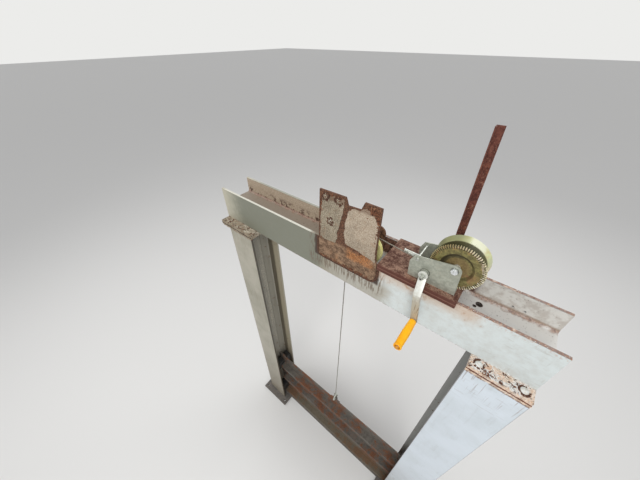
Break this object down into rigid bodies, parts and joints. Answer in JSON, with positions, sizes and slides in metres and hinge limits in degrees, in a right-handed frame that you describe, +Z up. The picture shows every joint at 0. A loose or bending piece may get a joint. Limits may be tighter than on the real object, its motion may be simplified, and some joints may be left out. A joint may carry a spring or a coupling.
{
  "type": "sluice gate",
  "caption": "Steel portal sluice gate: H-section columns guide a stiffened leaf hung on a wire rope from a geared hand winch on the crosshead.",
  "frame": {"origin": "on the channel floor, midway between the two columns and on their centre line", "axes": "+X along the crosshead towards the winch end, +Y from the crank side to the back, +Z up"},
  "size_m": [1.74, 0.393, 3.0205],
  "materials": {
    "white_paint": "weathered semi-gloss paint, rust at the edges",
    "rusty_steel": "bare steel under old rust",
    "dark_steel": "worn dark coating on steel",
    "zinc_plate": "zinc plated, dulled",
    "yellow_zinc": "yellow passivated zinc",
    "wire_rope": "stranded steel wire, greased",
    "grip_plastic": "smooth moulded plastic",
    "shoe_plastic": "dull black plastic",
    "seal_rubber": "dull rubber"
  },
  "bodies": {
    "portal": {"left_column": "white_paint", "right_column": "white_paint", "left_base_plate": "dark_steel", "right_base_plate": "dark_steel", "sill": "dark_steel", "crosshead": "white_paint", "left_cap_plate": "rusty_steel", "right_cap_plate": "rusty_steel", "left_sole_plate": "rusty_steel", "right_sole_plate": "rusty_steel", "left_joint_bolts": "white_paint", "right_joint_bolts": "white_paint", "sheave_bracket": "rusty_steel", "bracket_bolts": "rusty_steel", "sheave_lug": "rusty_steel", "sheave_pin": "dark_steel", "pin_spacers": "rusty_steel", "winch_base": "rusty_steel", "winch_frame": "zinc_plate", "winch_bolts": "zinc_plate", "drum_axle": "zinc_plate", "pawl_rod": "zinc_plate", "upright_bar": "rusty_steel", "rope_run": "wire_rope", "rope_over_sheave": "wire_rope", "rope_fall": "wire_rope"},
    "leaf": {"leaf_skin": "dark_steel", "leaf_stiffeners": "dark_steel", "leaf_end_posts": "dark_steel", "guide_shoes": "shoe_plastic", "lifting_lug": "dark_steel", "shackle": "zinc_plate", "rope_eye": "wire_rope", "bottom_seal": "seal_rubber"},
    "drum": {"gear": "yellow_zinc", "drum": "yellow_zinc", "rope_wraps": "wire_rope"},
    "crank": {"pinion_shaft": "zinc_plate", "pinion": "zinc_plate", "ratchet_wheel": "zinc_plate", "crank_arm": "zinc_plate", "crank_nut": "zinc_plate", "grip_pin": "zinc_plate"},
    "grip": {"grip": "grip_plastic"},
    "sheave": {"sheave": "yellow_zinc"},
    "pawl": {"pawl": "zinc_plate"}
  },
  "joints": [
    {"name": "gate_lift", "type": "slide", "parent": "portal", "child": "leaf", "axis": [0, 0, 1], "range_m": [0, 1.1], "deforming": ["rope_fall"]},
    {"name": "drum_spin", "type": "hinge", "parent": "portal", "child": "drum", "pos_m": [0.437, 0.005, 2.6105], "axis": [0, -1, 0], "range_deg": [0, 1145]},
    {"name": "crank_spin", "type": "hinge", "parent": "portal", "child": "crank", "pos_m": [0.35136, 0.005, 2.55053], "axis": [0, -1, 0], "range_deg": [-5556, 0]},
    {"name": "sheave_spin", "type": "hinge", "parent": "portal", "child": "sheave", "pos_m": [0.08, 0.005, 2.511], "axis": [0, -1, 0], "range_deg": [-789, 0]},
    {"name": "grip_spin", "type": "hinge", "parent": "crank", "child": "grip", "pos_m": [0.37891, 0.005, 2.34941], "axis": [0, -1, 0], "continuous": true},
    {"name": "pawl_lift", "type": "hinge", "parent": "portal", "child": "pawl", "pos_m": [0.31386, 0.005, 2.59703], "axis": [0, -1, 0], "range_deg": [0, 40], "stiffness_Nm_per_rad": 0.05, "springref_deg": -22.92}
  ],
  "couplings": [
    {"joint": "drum_spin", "follows": "gate_lift", "rad_per_m": 18.142},
    {"joint": "crank_spin", "follows": "gate_lift", "rad_per_m": -88.119},
    {"joint": "sheave_spin", "follows": "gate_lift", "rad_per_m": -12.5}
  ]
}
